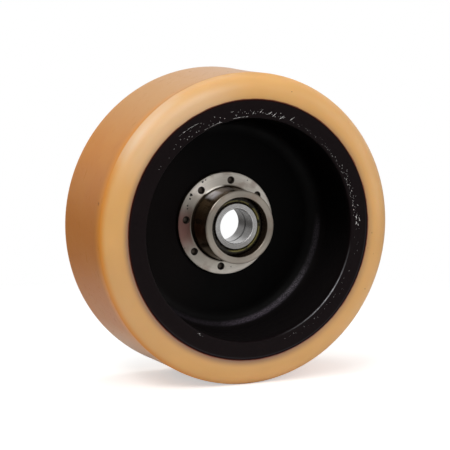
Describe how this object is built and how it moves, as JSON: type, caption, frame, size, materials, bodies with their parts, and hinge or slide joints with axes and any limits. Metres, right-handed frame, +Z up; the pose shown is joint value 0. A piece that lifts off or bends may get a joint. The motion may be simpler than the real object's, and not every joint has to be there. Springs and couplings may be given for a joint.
{
  "type": "forklift load wheel",
  "caption": "Polyurethane-tyred load wheel with a black cast rim, dished open on one side, and a bolted steel hub on taper roller bearings.",
  "frame": {"origin": "middle of the wheel: on the axle's line, halfway across the tread", "axes": "+Y along the axle, towards the shallow side with the screw heads; the deep open side faces -Y; +Z up"},
  "size_m": [0.355, 0.135, 0.355],
  "materials": {
    "polyurethane": "amber cast polyurethane, satin on the sides and matt ground on the tread",
    "black_paint": "satin black paint over sand-cast iron, chipped in places on the rim's face",
    "turned_steel": "turned steel with fine lathe lines and light oil",
    "screw_steel": "blackened steel",
    "bearing_steel": "ground and polished bearing steel",
    "cage_polymer": "moulded olive polyamide"
  },
  "bodies": {
    "axle_set": {"front_cone": "bearing_steel", "rear_cone": "bearing_steel", "cone_spacer": "bearing_steel"},
    "wheel": {"tyre": "polyurethane", "rim": "black_paint", "hub": "turned_steel", "hub_screws": "screw_steel", "lock_washers": "screw_steel", "front_cup": "bearing_steel", "rear_cup": "bearing_steel"},
    "front_cage_set": {"front_cage": "cage_polymer"},
    "front_roller_01": {"front_roller_01": "bearing_steel"},
    "front_roller_02": {"front_roller_02": "bearing_steel"},
    "front_roller_03": {"front_roller_03": "bearing_steel"},
    "front_roller_04": {"front_roller_04": "bearing_steel"},
    "front_roller_05": {"front_roller_05": "bearing_steel"},
    "front_roller_06": {"front_roller_06": "bearing_steel"},
    "front_roller_07": {"front_roller_07": "bearing_steel"},
    "front_roller_08": {"front_roller_08": "bearing_steel"},
    "front_roller_09": {"front_roller_09": "bearing_steel"},
    "front_roller_10": {"front_roller_10": "bearing_steel"},
    "front_roller_11": {"front_roller_11": "bearing_steel"},
    "front_roller_12": {"front_roller_12": "bearing_steel"},
    "front_roller_13": {"front_roller_13": "bearing_steel"},
    "front_roller_14": {"front_roller_14": "bearing_steel"},
    "front_roller_15": {"front_roller_15": "bearing_steel"},
    "front_roller_16": {"front_roller_16": "bearing_steel"},
    "front_roller_17": {"front_roller_17": "bearing_steel"},
    "front_roller_18": {"front_roller_18": "bearing_steel"},
    "rear_cage_set": {"rear_cage": "cage_polymer"},
    "rear_roller_01": {"rear_roller_01": "bearing_steel"},
    "rear_roller_02": {"rear_roller_02": "bearing_steel"},
    "rear_roller_03": {"rear_roller_03": "bearing_steel"},
    "rear_roller_04": {"rear_roller_04": "bearing_steel"},
    "rear_roller_05": {"rear_roller_05": "bearing_steel"},
    "rear_roller_06": {"rear_roller_06": "bearing_steel"},
    "rear_roller_07": {"rear_roller_07": "bearing_steel"},
    "rear_roller_08": {"rear_roller_08": "bearing_steel"},
    "rear_roller_09": {"rear_roller_09": "bearing_steel"},
    "rear_roller_10": {"rear_roller_10": "bearing_steel"},
    "rear_roller_11": {"rear_roller_11": "bearing_steel"},
    "rear_roller_12": {"rear_roller_12": "bearing_steel"},
    "rear_roller_13": {"rear_roller_13": "bearing_steel"},
    "rear_roller_14": {"rear_roller_14": "bearing_steel"},
    "rear_roller_15": {"rear_roller_15": "bearing_steel"},
    "rear_roller_16": {"rear_roller_16": "bearing_steel"},
    "rear_roller_17": {"rear_roller_17": "bearing_steel"},
    "rear_roller_18": {"rear_roller_18": "bearing_steel"}
  },
  "joints": [
    {"name": "wheel_spin", "type": "hinge", "parent": "axle_set", "child": "wheel", "pos_m": [0, 0, 0], "axis": [0, 1, 0], "continuous": true},
    {"name": "front_cage_spin", "type": "hinge", "parent": "axle_set", "child": "front_cage_set", "pos_m": [0, -0.0173, 0], "axis": [0, 1, 0], "continuous": true},
    {"name": "front_roller_01_spin", "type": "hinge", "parent": "front_cage_set", "child": "front_roller_01", "pos_m": [-0.02585, -0.0163, 0], "axis": [0.2147, 0.9767, 0], "continuous": true},
    {"name": "front_roller_02_spin", "type": "hinge", "parent": "front_cage_set", "child": "front_roller_02", "pos_m": [-0.02429, -0.0163, -0.00884], "axis": [0.2018, 0.9767, 0.0734], "continuous": true},
    {"name": "front_roller_03_spin", "type": "hinge", "parent": "front_cage_set", "child": "front_roller_03", "pos_m": [-0.0198, -0.0163, -0.01662], "axis": [0.1645, 0.9767, 0.138], "continuous": true},
    {"name": "front_roller_04_spin", "type": "hinge", "parent": "front_cage_set", "child": "front_roller_04", "pos_m": [-0.01293, -0.0163, -0.02239], "axis": [0.1074, 0.9767, 0.186], "continuous": true},
    {"name": "front_roller_05_spin", "type": "hinge", "parent": "front_cage_set", "child": "front_roller_05", "pos_m": [-0.00449, -0.0163, -0.02546], "axis": [0.0373, 0.9767, 0.2115], "continuous": true},
    {"name": "front_roller_06_spin", "type": "hinge", "parent": "front_cage_set", "child": "front_roller_06", "pos_m": [0.00449, -0.0163, -0.02546], "axis": [-0.0373, 0.9767, 0.2115], "continuous": true},
    {"name": "front_roller_07_spin", "type": "hinge", "parent": "front_cage_set", "child": "front_roller_07", "pos_m": [0.01293, -0.0163, -0.02239], "axis": [-0.1074, 0.9767, 0.186], "continuous": true},
    {"name": "front_roller_08_spin", "type": "hinge", "parent": "front_cage_set", "child": "front_roller_08", "pos_m": [0.0198, -0.0163, -0.01662], "axis": [-0.1645, 0.9767, 0.138], "continuous": true},
    {"name": "front_roller_09_spin", "type": "hinge", "parent": "front_cage_set", "child": "front_roller_09", "pos_m": [0.02429, -0.0163, -0.00884], "axis": [-0.2018, 0.9767, 0.0734], "continuous": true},
    {"name": "front_roller_10_spin", "type": "hinge", "parent": "front_cage_set", "child": "front_roller_10", "pos_m": [0.02585, -0.0163, 0], "axis": [-0.2147, 0.9767, 0], "continuous": true},
    {"name": "front_roller_11_spin", "type": "hinge", "parent": "front_cage_set", "child": "front_roller_11", "pos_m": [0.02429, -0.0163, 0.00884], "axis": [-0.2018, 0.9767, -0.0734], "continuous": true},
    {"name": "front_roller_12_spin", "type": "hinge", "parent": "front_cage_set", "child": "front_roller_12", "pos_m": [0.0198, -0.0163, 0.01662], "axis": [-0.1645, 0.9767, -0.138], "continuous": true},
    {"name": "front_roller_13_spin", "type": "hinge", "parent": "front_cage_set", "child": "front_roller_13", "pos_m": [0.01293, -0.0163, 0.02239], "axis": [-0.1074, 0.9767, -0.186], "continuous": true},
    {"name": "front_roller_14_spin", "type": "hinge", "parent": "front_cage_set", "child": "front_roller_14", "pos_m": [0.00449, -0.0163, 0.02546], "axis": [-0.0373, 0.9767, -0.2115], "continuous": true},
    {"name": "front_roller_15_spin", "type": "hinge", "parent": "front_cage_set", "child": "front_roller_15", "pos_m": [-0.00449, -0.0163, 0.02546], "axis": [0.0373, 0.9767, -0.2115], "continuous": true},
    {"name": "front_roller_16_spin", "type": "hinge", "parent": "front_cage_set", "child": "front_roller_16", "pos_m": [-0.01293, -0.0163, 0.02239], "axis": [0.1074, 0.9767, -0.186], "continuous": true},
    {"name": "front_roller_17_spin", "type": "hinge", "parent": "front_cage_set", "child": "front_roller_17", "pos_m": [-0.0198, -0.0163, 0.01662], "axis": [0.1645, 0.9767, -0.138], "continuous": true},
    {"name": "front_roller_18_spin", "type": "hinge", "parent": "front_cage_set", "child": "front_roller_18", "pos_m": [-0.02429, -0.0163, 0.00884], "axis": [0.2018, 0.9767, -0.0734], "continuous": true},
    {"name": "rear_cage_spin", "type": "hinge", "parent": "axle_set", "child": "rear_cage_set", "pos_m": [0, 0.0027, 0], "axis": [0, 1, 0], "continuous": true},
    {"name": "rear_roller_01_spin", "type": "hinge", "parent": "rear_cage_set", "child": "rear_roller_01", "pos_m": [0.02585, 0.0017, 0], "axis": [0.2147, 0.9767, 0], "continuous": true},
    {"name": "rear_roller_02_spin", "type": "hinge", "parent": "rear_cage_set", "child": "rear_roller_02", "pos_m": [0.02429, 0.0017, -0.00884], "axis": [0.2018, 0.9767, -0.0734], "continuous": true},
    {"name": "rear_roller_03_spin", "type": "hinge", "parent": "rear_cage_set", "child": "rear_roller_03", "pos_m": [0.0198, 0.0017, -0.01662], "axis": [0.1645, 0.9767, -0.138], "continuous": true},
    {"name": "rear_roller_04_spin", "type": "hinge", "parent": "rear_cage_set", "child": "rear_roller_04", "pos_m": [0.01293, 0.0017, -0.02239], "axis": [0.1074, 0.9767, -0.186], "continuous": true},
    {"name": "rear_roller_05_spin", "type": "hinge", "parent": "rear_cage_set", "child": "rear_roller_05", "pos_m": [0.00449, 0.0017, -0.02546], "axis": [0.0373, 0.9767, -0.2115], "continuous": true},
    {"name": "rear_roller_06_spin", "type": "hinge", "parent": "rear_cage_set", "child": "rear_roller_06", "pos_m": [-0.00449, 0.0017, -0.02546], "axis": [-0.0373, 0.9767, -0.2115], "continuous": true},
    {"name": "rear_roller_07_spin", "type": "hinge", "parent": "rear_cage_set", "child": "rear_roller_07", "pos_m": [-0.01293, 0.0017, -0.02239], "axis": [-0.1074, 0.9767, -0.186], "continuous": true},
    {"name": "rear_roller_08_spin", "type": "hinge", "parent": "rear_cage_set", "child": "rear_roller_08", "pos_m": [-0.0198, 0.0017, -0.01662], "axis": [-0.1645, 0.9767, -0.138], "continuous": true},
    {"name": "rear_roller_09_spin", "type": "hinge", "parent": "rear_cage_set", "child": "rear_roller_09", "pos_m": [-0.02429, 0.0017, -0.00884], "axis": [-0.2018, 0.9767, -0.0734], "continuous": true},
    {"name": "rear_roller_10_spin", "type": "hinge", "parent": "rear_cage_set", "child": "rear_roller_10", "pos_m": [-0.02585, 0.0017, 0], "axis": [-0.2147, 0.9767, 0], "continuous": true},
    {"name": "rear_roller_11_spin", "type": "hinge", "parent": "rear_cage_set", "child": "rear_roller_11", "pos_m": [-0.02429, 0.0017, 0.00884], "axis": [-0.2018, 0.9767, 0.0734], "continuous": true},
    {"name": "rear_roller_12_spin", "type": "hinge", "parent": "rear_cage_set", "child": "rear_roller_12", "pos_m": [-0.0198, 0.0017, 0.01662], "axis": [-0.1645, 0.9767, 0.138], "continuous": true},
    {"name": "rear_roller_13_spin", "type": "hinge", "parent": "rear_cage_set", "child": "rear_roller_13", "pos_m": [-0.01293, 0.0017, 0.02239], "axis": [-0.1074, 0.9767, 0.186], "continuous": true},
    {"name": "rear_roller_14_spin", "type": "hinge", "parent": "rear_cage_set", "child": "rear_roller_14", "pos_m": [-0.00449, 0.0017, 0.02546], "axis": [-0.0373, 0.9767, 0.2115], "continuous": true},
    {"name": "rear_roller_15_spin", "type": "hinge", "parent": "rear_cage_set", "child": "rear_roller_15", "pos_m": [0.00449, 0.0017, 0.02546], "axis": [0.0373, 0.9767, 0.2115], "continuous": true},
    {"name": "rear_roller_16_spin", "type": "hinge", "parent": "rear_cage_set", "child": "rear_roller_16", "pos_m": [0.01293, 0.0017, 0.02239], "axis": [0.1074, 0.9767, 0.186], "continuous": true},
    {"name": "rear_roller_17_spin", "type": "hinge", "parent": "rear_cage_set", "child": "rear_roller_17", "pos_m": [0.0198, 0.0017, 0.01662], "axis": [0.1645, 0.9767, 0.138], "continuous": true},
    {"name": "rear_roller_18_spin", "type": "hinge", "parent": "rear_cage_set", "child": "rear_roller_18", "pos_m": [0.02429, 0.0017, 0.00884], "axis": [0.2018, 0.9767, 0.0734], "continuous": true}
  ],
  "couplings": [
    {"joint": "front_cage_spin", "follows": "wheel_spin", "ratio": 0.56349},
    {"joint": "front_roller_01_spin", "follows": "wheel_spin", "ratio": 3.7835},
    {"joint": "front_roller_02_spin", "follows": "wheel_spin", "ratio": 3.7835},
    {"joint": "front_roller_03_spin", "follows": "wheel_spin", "ratio": 3.7835},
    {"joint": "front_roller_04_spin", "follows": "wheel_spin", "ratio": 3.7835},
    {"joint": "front_roller_05_spin", "follows": "wheel_spin", "ratio": 3.7835},
    {"joint": "front_roller_06_spin", "follows": "wheel_spin", "ratio": 3.7835},
    {"joint": "front_roller_07_spin", "follows": "wheel_spin", "ratio": 3.7835},
    {"joint": "front_roller_08_spin", "follows": "wheel_spin", "ratio": 3.7835},
    {"joint": "front_roller_09_spin", "follows": "wheel_spin", "ratio": 3.7835},
    {"joint": "front_roller_10_spin", "follows": "wheel_spin", "ratio": 3.7835},
    {"joint": "front_roller_11_spin", "follows": "wheel_spin", "ratio": 3.7835},
    {"joint": "front_roller_12_spin", "follows": "wheel_spin", "ratio": 3.7835},
    {"joint": "front_roller_13_spin", "follows": "wheel_spin", "ratio": 3.7835},
    {"joint": "front_roller_14_spin", "follows": "wheel_spin", "ratio": 3.7835},
    {"joint": "front_roller_15_spin", "follows": "wheel_spin", "ratio": 3.7835},
    {"joint": "front_roller_16_spin", "follows": "wheel_spin", "ratio": 3.7835},
    {"joint": "front_roller_17_spin", "follows": "wheel_spin", "ratio": 3.7835},
    {"joint": "front_roller_18_spin", "follows": "wheel_spin", "ratio": 3.7835},
    {"joint": "rear_cage_spin", "follows": "wheel_spin", "ratio": 0.56349},
    {"joint": "rear_roller_01_spin", "follows": "wheel_spin", "ratio": 3.7835},
    {"joint": "rear_roller_02_spin", "follows": "wheel_spin", "ratio": 3.7835},
    {"joint": "rear_roller_03_spin", "follows": "wheel_spin", "ratio": 3.7835},
    {"joint": "rear_roller_04_spin", "follows": "wheel_spin", "ratio": 3.7835},
    {"joint": "rear_roller_05_spin", "follows": "wheel_spin", "ratio": 3.7835},
    {"joint": "rear_roller_06_spin", "follows": "wheel_spin", "ratio": 3.7835},
    {"joint": "rear_roller_07_spin", "follows": "wheel_spin", "ratio": 3.7835},
    {"joint": "rear_roller_08_spin", "follows": "wheel_spin", "ratio": 3.7835},
    {"joint": "rear_roller_09_spin", "follows": "wheel_spin", "ratio": 3.7835},
    {"joint": "rear_roller_10_spin", "follows": "wheel_spin", "ratio": 3.7835},
    {"joint": "rear_roller_11_spin", "follows": "wheel_spin", "ratio": 3.7835},
    {"joint": "rear_roller_12_spin", "follows": "wheel_spin", "ratio": 3.7835},
    {"joint": "rear_roller_13_spin", "follows": "wheel_spin", "ratio": 3.7835},
    {"joint": "rear_roller_14_spin", "follows": "wheel_spin", "ratio": 3.7835},
    {"joint": "rear_roller_15_spin", "follows": "wheel_spin", "ratio": 3.7835},
    {"joint": "rear_roller_16_spin", "follows": "wheel_spin", "ratio": 3.7835},
    {"joint": "rear_roller_17_spin", "follows": "wheel_spin", "ratio": 3.7835},
    {"joint": "rear_roller_18_spin", "follows": "wheel_spin", "ratio": 3.7835}
  ]
}
